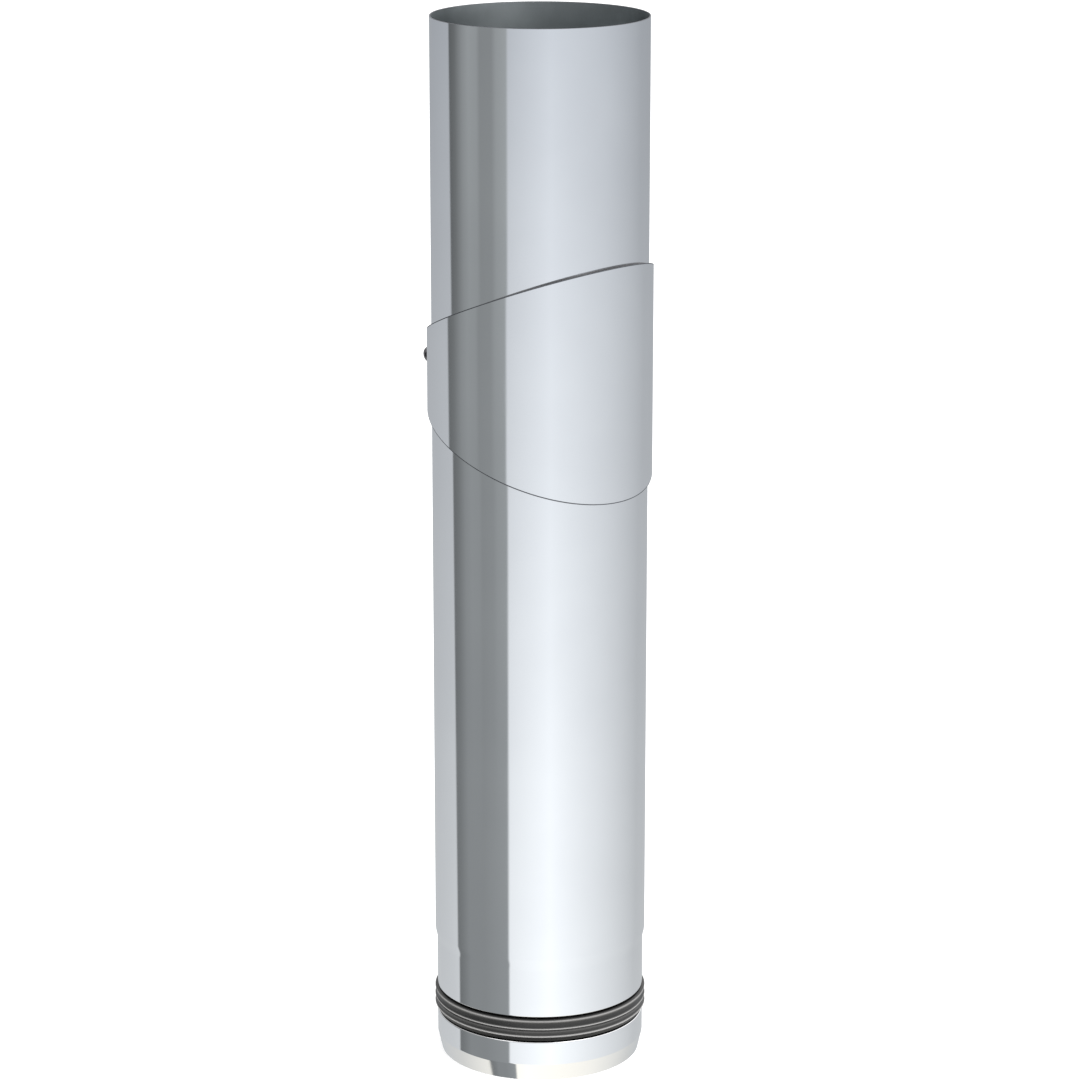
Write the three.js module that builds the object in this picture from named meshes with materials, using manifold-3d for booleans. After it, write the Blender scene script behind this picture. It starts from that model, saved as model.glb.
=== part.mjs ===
// Push-fit sight glass for DN 100 stainless drain pipe: a thin-walled pipe with a curved window
// behind a port in its wall, and a clamped cover sleeve that turns and slides to uncover it.
// Millimetres, +Z up. The origin is on the pipe's axis at its lower end. The window faces -Y.
import * as THREE from 'three';
import { mergeVertices } from 'three/addons/utils/BufferGeometryUtils.js';
import Module from 'manifold-3d';

const wasm = await Module();
wasm.setup();

// Pipe
const PIPE_R = 50;
const WALL = 0.6;
const PIPE_TOP = 495.5;
const SPIGOT_R = 49.1;
const LEAD_IN_TOP = 8.4;
const LEAD_IN_R = 47.2;
const SWAGE_BOTTOM = 56.5;
const SWAGE_TOP = 60.1;
const ROUND_SEGMENTS = 72;
const GAP = 0.3;

// Lip seal and its rolled groove
const GROOVE_BOTTOM = 20;
const GROOVE_TOP = 31.8;
const GROOVE_R = 46.4;
const GROOVE_FLARE = 0.4;
const LIP_R = 50.35;
const SEAL_BODY_R = 49.3;
const SEAL_SIDE_GAP = 0.4;
const LOWER_LIP = [1.6, 3.2];
const NOTCH = [4.3, 5.5];
const UPPER_LIP = [6.8, 10];

// Window: port in the wall, gaskets, glass and retainer, held by welded studs and nuts
const WINDOW_Z = 333;
const PORT_WIDTH = 50;
const PORT_HEIGHT = 70;
const PORT_CORNER = 12;
const FRAME_HALF_ANGLE = 46;
const FRAME_HALF_HEIGHT = 49.5;
const GLASS_HALF_ANGLE = 36.5;
const GLASS_HALF_HEIGHT = 40.5;
const GASKET_OUTER_R = 49.1;
const GASKET_INNER_R = 48.4;
const GLASS_OUTER_R = 48;
const GLASS_INNER_R = 45;
const CUSHION_OUTER_R = 44.7;
const CUSHION_INNER_R = 44.1;
const FRAME_OUTER_R = 48.1;
const FRAME_LIP_R = 43.8;
const FRAME_INNER_R = 42.6;
const REBATE_ANGLE_GAP = 0.5;
const REBATE_HEIGHT_GAP = 0.4;
const STUD_ANGLE = 41.5;
const STUD_HEIGHT = 45;
const STUD_R = 1.5;
const STUD_END_R = 39.2;
const STUD_NUT_ACROSS_FLATS = 5.5;
const STUD_NUT_HEIGHT = 2.4;
const STUD_NUT_SEAT_R = 42.15;
const DRILL_DEPTH = 12;
const SCREW_CLEARANCE = 0.3;

// Cover sleeve: its upper and lower edges are two planes that meet behind the clamp
const LINER_INNER_R = 50.3;
const LINER_OUTER_R = 51;
const COVER_INNER_R = 51.3;
const COVER_OUTER_R = 52.1;
const COVER_MEAN_HALF_HEIGHT = 33.5;
const COVER_EDGE_SLOPE = 0.4033;
const LINER_PROUD = 0.6;
const COVER_GAP = 17;
const COVER_TOOL_REACH = 60;

// Clamp: two lugs on the sleeve's ends, drawn together by one screw along X
const CLAMP_Y = 57.5;
const LUG_INNER_X = 10.2;
const LUG_THICKNESS = 2;
const LUG_HEIGHT = 18;
const LUG_TOP_Y = 61.8;
const LUG_ROOT_Y = 51.7;
const LUG_CORNER = 4;
const LUG_FOOT_R = 52.4;
const LUG_FOOT_THICKNESS = 1.5;
const LUG_FOOT_START = 11.2;
const LUG_FOOT_END = 29.4;
const SCREW_R = 2;
const SCREW_END_X = 17.5;
const SCREW_HEAD_R = 3.8;
const SCREW_HEAD_HEIGHT = 2.7;
const SCREW_HEAD_EDGE = 0.8;
const SCREW_TIP_CHAMFER = 0.6;
const SOCKET_ACROSS_FLATS = 2.5;
const SOCKET_DEPTH = 1.8;
const WASHER_R = 4;
const WASHER_THICKNESS = 1;
const LOCK_WASHER_THICKNESS = 0.9;
const NUT_ACROSS_FLATS = 7;
const NUT_HEIGHT = 3.2;

const radians = (degrees) => THREE.MathUtils.degToRad(degrees);

const metal = (color, roughness) => new THREE.MeshStandardMaterial({ color, metalness: 1, roughness });
const steel = () => metal(0xc8ccd1, 0.22);
const castSteel = () => metal(0xb9bcbf, 0.4);
const fastenerSteel = () => metal(0x8b8d90, 0.35);
const epdm = () => new THREE.MeshStandardMaterial({ color: 0x1b1b1c, metalness: 0, roughness: 0.65 });
const clearGlass = () => new THREE.MeshStandardMaterial({
  color: 0xe4efec, metalness: 0, roughness: 0.03, transparent: true, opacity: 0.3,
});

// ---- solids ----

function toSolid(geometry) {
  const bare = geometry.index ? geometry.toNonIndexed() : geometry.clone();
  bare.deleteAttribute('normal');
  bare.deleteAttribute('uv');
  const merged = mergeVertices(bare, 1e-5);
  const vertProperties = new Float32Array(merged.attributes.position.array);
  const triVerts = new Uint32Array(merged.index.array);
  return new wasm.Manifold(new wasm.Mesh({ numProp: 3, vertProperties, triVerts }));
}

function toGeometry(solid) {
  const { vertProperties, triVerts } = solid.getMesh();
  const geometry = new THREE.BufferGeometry();
  geometry.setAttribute('position', new THREE.BufferAttribute(vertProperties, 3));
  geometry.setIndex(new THREE.BufferAttribute(triVerts, 1));
  geometry.computeVertexNormals();
  return geometry;
}

// A closed profile of [radius, height] points, turned about Z.
function turned(profile, segments = ROUND_SEGMENTS) {
  const points = profile.map(([r, z]) => new THREE.Vector2(r, z));
  return new THREE.LatheGeometry([...points, points[0].clone()], segments).rotateX(Math.PI / 2);
}

function tube(innerR, outerR, low, high, segments = ROUND_SEGMENTS) {
  return turned([[innerR, low], [outerR, low], [outerR, high], [innerR, high]], segments);
}

// Part of a tube: halfAngle each side of the direction at centreAngle, both counted from -Y.
function sector(innerR, outerR, halfAngle, low, high, centreAngle = 0) {
  const middle = radians(centreAngle - 90);
  const half = radians(halfAngle);
  const shape = new THREE.Shape();
  shape.absarc(0, 0, outerR, middle - half, middle + half, false);
  shape.absarc(0, 0, innerR, middle + half, middle - half, true);
  const options = { depth: high - low, bevelEnabled: false, curveSegments: 24 };
  return new THREE.ExtrudeGeometry(shape, options).translate(0, 0, low);
}

function roundedRectangle(width, height, corner) {
  const x = width / 2 - corner;
  const y = height / 2 - corner;
  const shape = new THREE.Shape();
  shape.absarc(x, y, corner, 0, Math.PI / 2, false);
  shape.absarc(-x, y, corner, Math.PI / 2, Math.PI, false);
  shape.absarc(-x, -y, corner, Math.PI, 1.5 * Math.PI, false);
  shape.absarc(x, -y, corner, 1.5 * Math.PI, 2 * Math.PI, false);
  return shape;
}

// The window's outline as a block that reaches from the middle of the pipe out past its wall.
function portBlock() {
  const shape = roundedRectangle(PORT_WIDTH, PORT_HEIGHT, PORT_CORNER);
  const options = { depth: PIPE_R, bevelEnabled: false, curveSegments: 6 };
  const block = new THREE.ExtrudeGeometry(shape, options).rotateX(Math.PI / 2);
  return block.translate(0, -PIPE_R / 2, WINDOW_Z);
}

function cylinderAlongX(radius, fromX, toX, segments) {
  const rod = new THREE.CylinderGeometry(radius, radius, toX - fromX, segments).rotateZ(Math.PI / 2);
  return rod.translate((fromX + toX) / 2, 0, 0);
}

function ringAlongX(innerR, outerR, fromX, toX, segments) {
  return tube(innerR, outerR, fromX, toX, segments).rotateY(Math.PI / 2);
}

// ---- pipe ----

function pipeProfile() {
  const outer = [
    [LEAD_IN_R, 0],
    [SPIGOT_R, LEAD_IN_TOP],
    [SPIGOT_R, GROOVE_BOTTOM - GROOVE_FLARE],
    [GROOVE_R, GROOVE_BOTTOM],
    [GROOVE_R, GROOVE_TOP],
    [SPIGOT_R, GROOVE_TOP + GROOVE_FLARE],
    [SPIGOT_R, SWAGE_BOTTOM],
    [(SPIGOT_R + PIPE_R) / 2, (SWAGE_BOTTOM + SWAGE_TOP) / 2],
    [PIPE_R, SWAGE_TOP],
    [PIPE_R, PIPE_TOP],
  ];
  const inner = [
    [LEAD_IN_R - WALL, 0],
    [SPIGOT_R - WALL, LEAD_IN_TOP + WALL / 4],
    [SPIGOT_R - WALL, GROOVE_BOTTOM - GROOVE_FLARE - WALL],
    [GROOVE_R - WALL, GROOVE_BOTTOM - WALL],
    [GROOVE_R - WALL, GROOVE_TOP + WALL],
    [SPIGOT_R - WALL, GROOVE_TOP + GROOVE_FLARE + WALL],
    [SPIGOT_R - WALL, SWAGE_BOTTOM + WALL / 2],
    [PIPE_R - WALL, SWAGE_TOP + WALL / 2],
    [PIPE_R - WALL, PIPE_TOP],
  ];
  return [...outer, ...inner.reverse()];
}

function pipeBody() {
  return toGeometry(toSolid(turned(pipeProfile())).subtract(toSolid(portBlock())));
}

// Two ribs with a notch between them, on a flat base that fills the groove.
function lipSeal() {
  const low = GROOVE_BOTTOM + SEAL_SIDE_GAP;
  const high = GROOVE_TOP - SEAL_SIDE_GAP;
  const base = GROOVE_R + GAP;
  return turned([
    [base, low],
    [SEAL_BODY_R, low],
    ...LOWER_LIP.map((height) => [LIP_R, low + height]),
    ...NOTCH.map((height) => [SEAL_BODY_R, low + height]),
    ...UPPER_LIP.map((height) => [LIP_R, low + height]),
    [SEAL_BODY_R, high],
    [base, high],
  ]);
}

// ---- window ----

// Eight fixings round the window: its corners and the middle of each side.
function studSpots() {
  const spots = [];
  for (const height of [-STUD_HEIGHT, 0, STUD_HEIGHT]) {
    for (const angle of [-STUD_ANGLE, 0, STUD_ANGLE]) {
      if (height !== 0 || angle !== 0) {
        spots.push({ angle, z: WINDOW_Z + height });
      }
    }
  }
  return spots;
}

// A point at this radius, in the direction that lies angle degrees round from -Y.
function windowPoint(radius, angle, z) {
  return new THREE.Vector3(radius * Math.sin(radians(angle)), -radius * Math.cos(radians(angle)), z);
}

// Geometry built on +Z is turned to point at the pipe's axis, with its foot at this radius.
function aimInward(object, radius, spot) {
  const inward = windowPoint(-1, spot.angle, 0);
  object.quaternion.setFromUnitVectors(new THREE.Vector3(0, 0, 1), inward);
  object.position.copy(windowPoint(radius, spot.angle, spot.z));
  object.updateMatrix();
  return object;
}

function studRod(radius, length) {
  const rod = new THREE.CylinderGeometry(radius, radius, length, 16).rotateX(Math.PI / 2);
  return rod.translate(0, 0, length / 2);
}

function withoutStudHoles(solid) {
  let result = solid;
  for (const spot of studSpots()) {
    const drill = new THREE.Mesh(studRod(STUD_R + SCREW_CLEARANCE, DRILL_DEPTH));
    aimInward(drill, PIPE_R, spot);
    result = result.subtract(toSolid(drill.geometry.applyMatrix4(drill.matrix)));
  }
  return result;
}

function windowRing(innerR, outerR, halfAngle, halfHeight) {
  return toSolid(sector(innerR, outerR, halfAngle, WINDOW_Z - halfHeight, WINDOW_Z + halfHeight));
}

function windowGasket() {
  const sheet = windowRing(GASKET_INNER_R, GASKET_OUTER_R, FRAME_HALF_ANGLE, FRAME_HALF_HEIGHT);
  return toGeometry(withoutStudHoles(sheet.subtract(toSolid(portBlock()))));
}

function glassCushion() {
  const sheet = windowRing(CUSHION_INNER_R, CUSHION_OUTER_R, GLASS_HALF_ANGLE, GLASS_HALF_HEIGHT);
  return toGeometry(sheet.subtract(toSolid(portBlock())));
}

function windowGlass() {
  return toGeometry(windowRing(GLASS_INNER_R, GLASS_OUTER_R, GLASS_HALF_ANGLE, GLASS_HALF_HEIGHT));
}

function windowRetainer() {
  const block = windowRing(FRAME_INNER_R, FRAME_OUTER_R, FRAME_HALF_ANGLE, FRAME_HALF_HEIGHT);
  const rebateAngle = GLASS_HALF_ANGLE + REBATE_ANGLE_GAP;
  const rebate = windowRing(FRAME_LIP_R, PIPE_R, rebateAngle, GLASS_HALF_HEIGHT + REBATE_HEIGHT_GAP);
  return toGeometry(withoutStudHoles(block.subtract(rebate).subtract(toSolid(portBlock()))));
}

function hexNut(acrossFlats, height, boreR) {
  const cornerR = acrossFlats / Math.sqrt(3);
  const hexagon = new THREE.CylinderGeometry(cornerR, cornerR, height, 6);
  const bore = new THREE.CylinderGeometry(boreR, boreR, 2 * height, 16);
  const nut = toGeometry(toSolid(hexagon).subtract(toSolid(bore)));
  return nut.rotateX(Math.PI / 2).translate(0, 0, height / 2);
}

// ---- cover ----

// Everything between two slanting planes that stand this far outside the sleeve's own edges.
function edgePlanes(proud) {
  const reach = COVER_TOOL_REACH;
  const high = COVER_MEAN_HALF_HEIGHT + COVER_EDGE_SLOPE * reach + proud;
  const low = COVER_MEAN_HALF_HEIGHT - COVER_EDGE_SLOPE * reach + proud;
  const shape = new THREE.Shape([
    new THREE.Vector2(-reach, -high),
    new THREE.Vector2(reach, -low),
    new THREE.Vector2(reach, low),
    new THREE.Vector2(-reach, high),
  ]);
  const block = new THREE.ExtrudeGeometry(shape, { depth: 2 * reach, bevelEnabled: false });
  block.rotateX(Math.PI / 2).rotateZ(Math.PI / 2);
  return block.translate(-reach, 0, WINDOW_Z);
}

function coverTube(innerR, outerR, proud) {
  const reach = COVER_MEAN_HALF_HEIGHT + COVER_EDGE_SLOPE * COVER_TOOL_REACH;
  const round = toSolid(tube(innerR, outerR, WINDOW_Z - reach, WINDOW_Z + reach));
  return round.intersect(toSolid(edgePlanes(proud)));
}

// The soft liner shows as a thin line along both edges of the sleeve. The window's opening is
// cut in it, so it seals round the port.
function coverLiner() {
  const sheet = coverTube(LINER_INNER_R, LINER_OUTER_R, LINER_PROUD);
  return toGeometry(sheet.subtract(toSolid(portBlock())));
}

function coverBand() {
  const slot = new THREE.BoxGeometry(COVER_GAP, PIPE_R, 2 * PIPE_R).translate(0, PIPE_R, WINDOW_Z);
  return toGeometry(coverTube(COVER_INNER_R, COVER_OUTER_R, 0).subtract(toSolid(slot)));
}

// The lug's curved foot, which is welded on the sleeve.
function lugFoot(side) {
  const middle = 180 - side * (LUG_FOOT_START + LUG_FOOT_END) / 2;
  const half = (LUG_FOOT_END - LUG_FOOT_START) / 2;
  const footTop = LUG_FOOT_R + LUG_FOOT_THICKNESS;
  return sector(LUG_FOOT_R, footTop, half, -LUG_HEIGHT / 2, LUG_HEIGHT / 2, middle);
}

// The lug's upright ear, with two round corners.
function lugEar(side) {
  const outline = new THREE.Shape();
  const top = LUG_TOP_Y - LUG_CORNER;
  const edge = LUG_HEIGHT / 2;
  outline.moveTo(LUG_ROOT_Y, -edge);
  outline.absarc(top, LUG_CORNER - edge, LUG_CORNER, -Math.PI / 2, 0, false);
  outline.absarc(top, edge - LUG_CORNER, LUG_CORNER, 0, Math.PI / 2, false);
  outline.lineTo(LUG_ROOT_Y, edge);
  const options = { depth: LUG_THICKNESS, bevelEnabled: false, curveSegments: 6 };
  const ear = new THREE.ExtrudeGeometry(outline, options).rotateX(Math.PI / 2).rotateZ(Math.PI / 2);
  return ear.translate(side > 0 ? LUG_INNER_X : -LUG_INNER_X - LUG_THICKNESS, 0, 0);
}

// A bent lug with the screw's hole through its ear.
function clampLug(side) {
  const hole = cylinderAlongX(SCREW_R + SCREW_CLEARANCE, -PIPE_R, PIPE_R, 24).translate(0, CLAMP_Y, 0);
  const solid = toSolid(lugFoot(side)).add(toSolid(lugEar(side))).subtract(toSolid(hole));
  return toGeometry(solid).translate(0, 0, WINDOW_Z);
}

// Clamp places along X, from the near lug's outer face out to the screw's head.
const lugFaceX = -(LUG_INNER_X + LUG_THICKNESS);
const washerX = lugFaceX - GAP - WASHER_THICKNESS;
const lockWasherX = washerX - GAP - LOCK_WASHER_THICKNESS;
const headX = lockWasherX - GAP;

// A domed socket head on a plain shank; the profile runs along the screw, head first.
function clampScrew() {
  const profile = [new THREE.Vector2(0, headX - SCREW_HEAD_HEIGHT)];
  const domeSteps = 6;
  for (let step = 1; step <= domeSteps; step += 1) {
    const turn = (step / domeSteps) * Math.PI / 2;
    profile.push(new THREE.Vector2(
      SCREW_HEAD_R * Math.sin(turn),
      headX - SCREW_HEAD_EDGE - (SCREW_HEAD_HEIGHT - SCREW_HEAD_EDGE) * Math.cos(turn),
    ));
  }
  profile.push(new THREE.Vector2(SCREW_HEAD_R, headX));
  profile.push(new THREE.Vector2(SCREW_R, headX));
  profile.push(new THREE.Vector2(SCREW_R, SCREW_END_X - SCREW_TIP_CHAMFER));
  profile.push(new THREE.Vector2(SCREW_R - SCREW_TIP_CHAMFER, SCREW_END_X));
  profile.push(new THREE.Vector2(0, SCREW_END_X));
  const body = new THREE.LatheGeometry(profile, 24).rotateZ(-Math.PI / 2);
  const socketR = SOCKET_ACROSS_FLATS / Math.sqrt(3);
  const mouthX = headX - SCREW_HEAD_HEIGHT;
  const socket = cylinderAlongX(socketR, mouthX - 1, mouthX + SOCKET_DEPTH, 6);
  return toGeometry(toSolid(body).subtract(toSolid(socket)));
}

// ---- assembly ----

const sightGlass = new THREE.Group();

function place(name, geometry, material, parent = sightGlass) {
  const mesh = new THREE.Mesh(geometry, material);
  mesh.name = name;
  parent.add(mesh);
  return mesh;
}

place('pipe_body', pipeBody(), steel());
place('spigot_lip_seal', lipSeal(), epdm());
place('window_gasket', windowGasket(), epdm());
place('window_glass', windowGlass(), clearGlass());
place('glass_cushion', glassCushion(), epdm());
place('window_retainer', windowRetainer(), castSteel());

studSpots().forEach((spot, index) => {
  const studLength = GASKET_OUTER_R - STUD_END_R;
  const stud = place(`window_stud_${index + 1}`, studRod(STUD_R, studLength), fastenerSteel());
  aimInward(stud, GASKET_OUTER_R, spot);
  const nutShape = hexNut(STUD_NUT_ACROSS_FLATS, STUD_NUT_HEIGHT, STUD_R + SCREW_CLEARANCE);
  const nut = place(`window_nut_${index + 1}`, nutShape, fastenerSteel());
  aimInward(nut, STUD_NUT_SEAT_R, spot);
});

place('cover_liner', coverLiner(), epdm());
place('cover_band', coverBand(), steel());
place('clamp_lug_left', clampLug(-1), steel());
place('clamp_lug_right', clampLug(1), steel());

const clamp = new THREE.Group();
clamp.position.set(0, CLAMP_Y, WINDOW_Z);
sightGlass.add(clamp);

const washer = ringAlongX(SCREW_R + SCREW_CLEARANCE, WASHER_R, washerX, washerX + WASHER_THICKNESS, 24);
place('clamp_washer', washer, fastenerSteel(), clamp);
const lockWasherEnd = lockWasherX + LOCK_WASHER_THICKNESS;
const lockWasher = ringAlongX(SCREW_R + SCREW_CLEARANCE, WASHER_R, lockWasherX, lockWasherEnd, 24);
place('clamp_lock_washer', lockWasher, fastenerSteel(), clamp);
place('clamp_screw', clampScrew(), fastenerSteel(), clamp);
const clampNut = hexNut(NUT_ACROSS_FLATS, NUT_HEIGHT, SCREW_R + SCREW_CLEARANCE).rotateY(Math.PI / 2);
place('clamp_nut', clampNut.translate(GAP - lugFaceX, 0, 0), fastenerSteel(), clamp);

export default sightGlass;
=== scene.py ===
"""Looks of the push-fit sight glass: fine meshes, procedural materials, studio and camera.

Sizes are in millimetres unless a name says otherwise, and MM turns them into Blender's metres.
The pipe's axis is Z through the origin, the window faces -Y and the cover's clamp is at +Y.
"""

import math

import bmesh
import bpy
from mathutils import Matrix, Vector


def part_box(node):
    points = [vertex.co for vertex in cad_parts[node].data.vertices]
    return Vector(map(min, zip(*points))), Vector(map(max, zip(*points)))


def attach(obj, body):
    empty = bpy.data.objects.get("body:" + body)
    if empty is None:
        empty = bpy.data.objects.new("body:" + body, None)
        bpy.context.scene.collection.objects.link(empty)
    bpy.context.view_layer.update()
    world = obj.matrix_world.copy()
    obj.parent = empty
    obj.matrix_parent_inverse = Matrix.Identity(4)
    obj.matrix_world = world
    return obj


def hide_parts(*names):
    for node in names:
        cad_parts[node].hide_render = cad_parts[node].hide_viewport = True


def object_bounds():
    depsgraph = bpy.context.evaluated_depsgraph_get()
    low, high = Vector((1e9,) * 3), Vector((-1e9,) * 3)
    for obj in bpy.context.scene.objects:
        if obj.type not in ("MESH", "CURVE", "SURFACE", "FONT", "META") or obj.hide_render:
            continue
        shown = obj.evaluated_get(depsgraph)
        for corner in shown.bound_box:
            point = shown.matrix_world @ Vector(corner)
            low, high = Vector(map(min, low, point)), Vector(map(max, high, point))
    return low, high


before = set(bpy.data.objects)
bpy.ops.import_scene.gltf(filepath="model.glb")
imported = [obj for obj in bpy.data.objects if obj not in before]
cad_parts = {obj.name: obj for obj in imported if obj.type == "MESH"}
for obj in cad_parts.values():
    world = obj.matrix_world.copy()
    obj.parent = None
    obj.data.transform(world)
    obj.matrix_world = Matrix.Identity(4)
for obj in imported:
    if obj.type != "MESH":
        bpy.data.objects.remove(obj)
cad_low, cad_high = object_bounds()

MM = 0.001

# Places that the CAD model settles, read from its boxes.
pipe_low, pipe_high = (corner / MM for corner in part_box("pipe_body"))
seal_low, seal_high = (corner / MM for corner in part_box("spigot_lip_seal"))
band_low, band_high = (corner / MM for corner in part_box("cover_band"))
glass_low, glass_high = (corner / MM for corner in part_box("window_glass"))
frame_low, frame_high = (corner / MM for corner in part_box("window_retainer"))
screw_low, screw_high = (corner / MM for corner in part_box("clamp_screw"))
lug_low, lug_high = (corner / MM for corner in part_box("clamp_lug_right"))
washer_low, washer_high = (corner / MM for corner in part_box("clamp_washer"))
lock_low, lock_high = (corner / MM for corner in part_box("clamp_lock_washer"))
nut_low, nut_high = (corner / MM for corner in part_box("clamp_nut"))

PIPE_R = pipe_high.x
PIPE_TOP = pipe_high.z
WINDOW_Z = (band_low.z + band_high.z) / 2
CLAMP_Y = (screw_low.y + screw_high.y) / 2
BAND_R = band_high.x

# Sizes of the real piece that the CAD boxes don't give.
WALL = 0.6
SPIGOT_R = 49.1
LEAD_IN_R = 47.2
LEAD_IN_TOP = 8.4
GROOVE_R = 46.4
SWAGE_BOTTOM = 56.5
SWAGE_TOP = 60.1
SWAGE_BEND = 1.2
SWAGE_SHADE = 0.15
SHEET = 0.8
# Width of the painted shade line along the cover's edges.
EDGE_LINE = 0.5
EDGE_SLOPE = 0.4033
LINER_PROUD_ABOVE = 0.1
LINER_PROUD_BELOW = 0.6
PORT_WIDTH = 50
PORT_HEIGHT = 70
PORT_CORNER = 12
SLEEVE_GAP_HALF = 8.5
LINER_TO_PIPE = 0.12
LINER_TO_SLEEVE = 0.1
GASKET_RADII = (48.05, 49.35)
GLASS_RADII = (45, 48)
CUSHION_RADII = (43.85, 44.95)
RETAINER_RADII = (42.6, 48.0)
REBATE_RADII = (43.8, 52)
FRAME_HALF_DEGREES = 46
GLASS_HALF_DEGREES = 36.5
REBATE_HALF_DEGREES = 37
STUD_R = 1.5
STUD_PITCH = 0.5
STUD_LENGTH = 9.9
STUD_FOOT_R = 49.1
STUD_NUT_FLATS = 5.5
STUD_NUT_HEIGHT = 2.4
STUD_NUT_BORE_R = 1.45
STUD_NUT_FOOT_R = 42.4
LUG_SHEET = 1.5
LUG_CLEARANCE = 0.06
LUG_END_DEGREES = 29.4
LUG_CORNER = 4
LUG_HOLE_R = 2.25
SPOT_WELD_DEGREES = (18.5, 25.5)
SPOT_WELD_HEIGHT = 4.5
SCREW_R = 2
SCREW_PITCH = 0.7
SOCKET_FLATS = 2.5
SOCKET_DEPTH = 1.8
CLAMP_NUT_BORE_R = 1.95
ROUND_STEPS = 288

# The pipe's three materials, and how far a face leans before it counts as another kind.
INSIDE = 1
CUT = 2
FACES_INWARD = -0.3
FACES_OUTWARD = 0.985

# ---------------------------------------------------------------- mesh helpers


def make_object(name, vertices, faces, sharp_degrees=32):
    """A mesh object from points in millimetres, smooth but for its sharp edges."""
    mesh = bpy.data.meshes.new(name)
    mesh.from_pydata([Vector(v) * MM for v in vertices], [], faces)
    obj = bpy.data.objects.new(name, mesh)
    bpy.context.scene.collection.objects.link(obj)
    tidy_mesh(obj, sharp_degrees)
    return obj


def tidy_mesh(obj, sharp_degrees=32):
    """Faces point outward and edges sharper than the angle are marked."""
    work = bmesh.new()
    work.from_mesh(obj.data)
    bmesh.ops.remove_doubles(work, verts=work.verts, dist=1e-7)
    bmesh.ops.recalc_face_normals(work, faces=work.faces)
    for face in work.faces:
        face.smooth = True
    for edge in work.edges:
        edge.smooth = edge.calc_face_angle(0) < math.radians(sharp_degrees)
    work.to_mesh(obj.data)
    work.free()


def apply_modifiers(obj):
    """Replaces the object's mesh by what its modifiers make of it."""
    graph = bpy.context.evaluated_depsgraph_get()
    made = bpy.data.meshes.new_from_object(obj.evaluated_get(graph))
    obj.modifiers.clear()
    obj.data = made


def boolean(obj, tool, operation):
    """Cuts or joins two objects, and drops the tool."""
    change = obj.modifiers.new("cut", "BOOLEAN")
    change.object = tool
    change.operation = operation
    change.solver = "EXACT"
    apply_modifiers(obj)
    bpy.data.objects.remove(tool)
    tidy_mesh(obj)
    return obj


def bevel(obj, width, segments=3, angle_degrees=32):
    """Rounds the object's sharp edges."""
    change = obj.modifiers.new("edge", "BEVEL")
    change.width = width * MM
    change.segments = segments
    change.limit_method = "ANGLE"
    change.angle_limit = math.radians(angle_degrees)
    change.harden_normals = False
    apply_modifiers(obj)
    tidy_mesh(obj, 45)
    return obj


def revolve(name, profile, steps=ROUND_STEPS, sharp_degrees=32):
    """A closed profile of (radius, height) points turned about Z."""
    count = len(profile)
    vertices = []
    for step in range(steps):
        turn = math.tau * step / steps
        vertices += [(r * math.sin(turn), -r * math.cos(turn), z) for r, z in profile]
    faces = []
    for step in range(steps):
        here = step * count
        there = (step + 1) % steps * count
        for i in range(count):
            j = (i + 1) % count
            faces.append((here + i, there + i, there + j, here + j))
    return make_object(name, vertices, faces, sharp_degrees)


def round_corners(points, radius, steps=4):
    """A closed outline with each corner replaced by a short curve."""
    result = []
    count = len(points)
    for i, corner in enumerate(points):
        here = Vector(corner)
        before = Vector(points[i - 1]) - here
        after = Vector(points[(i + 1) % count]) - here
        reach = min(radius, before.length / 2.2, after.length / 2.2)
        start = here + before.normalized() * reach
        end = here + after.normalized() * reach
        for step in range(steps + 1):
            t = step / steps
            point = start * (1 - t) ** 2 + here * (2 * t * (1 - t)) + end * t ** 2
            result.append(tuple(point))
    return result


def loft(name, sections, closed, sharp_degrees=32):
    """Joins equal rings of points; open lofts get a flat face at each end."""
    count = len(sections[0])
    vertices = [point for section in sections for point in section]
    faces = []
    last = len(sections) if closed else len(sections) - 1
    for i in range(last):
        here = i * count
        there = (i + 1) % len(sections) * count
        for j in range(count):
            k = (j + 1) % count
            faces.append((here + j, there + j, there + k, here + k))
    if not closed:
        faces.append(tuple(range(count)))
        faces.append(tuple(reversed(range((len(sections) - 1) * count, len(sections) * count))))
    return make_object(name, vertices, faces, sharp_degrees)


def rounded_rectangle(width, height, corner, steps=10):
    """Points of a rectangle with round corners, about the middle."""
    points = []
    for quarter, (sx, sy) in enumerate(((1, 1), (-1, 1), (-1, -1), (1, -1))):
        for step in range(steps + 1):
            turn = (quarter + step / steps) * math.pi / 2
            x = sx * (width / 2 - corner) + corner * math.cos(turn)
            y = sy * (height / 2 - corner) + corner * math.sin(turn)
            points.append((x, y))
    return points


def port_tool(grow=0.0):
    """A block with the window's outline, from inside the pipe out past the cover."""
    outline = rounded_rectangle(PORT_WIDTH + 2 * grow, PORT_HEIGHT + 2 * grow, PORT_CORNER + grow)
    sections = [[(x, y, z + WINDOW_Z) for x, z in outline] for y in (-70, -25)]
    return loft("port_tool", sections, closed=False)


def window_point(radius, degrees, z=0.0):
    """A point this far from the axis, so many degrees round from the window."""
    turn = math.radians(degrees)
    return Vector((radius * math.sin(turn), -radius * math.cos(turn), z))


def sector(name, inner, outer, half_degrees, low, high, steps=64):
    """A piece of tube, as wide as the angle on each side of the window."""
    sections = []
    for step in range(steps + 1):
        angle = half_degrees * (2 * step / steps - 1)
        ring = [(inner, low), (outer, low), (outer, high), (inner, high)]
        sections.append([window_point(r, angle, z) for r, z in ring])
    return loft(name, sections, closed=False)


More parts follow.
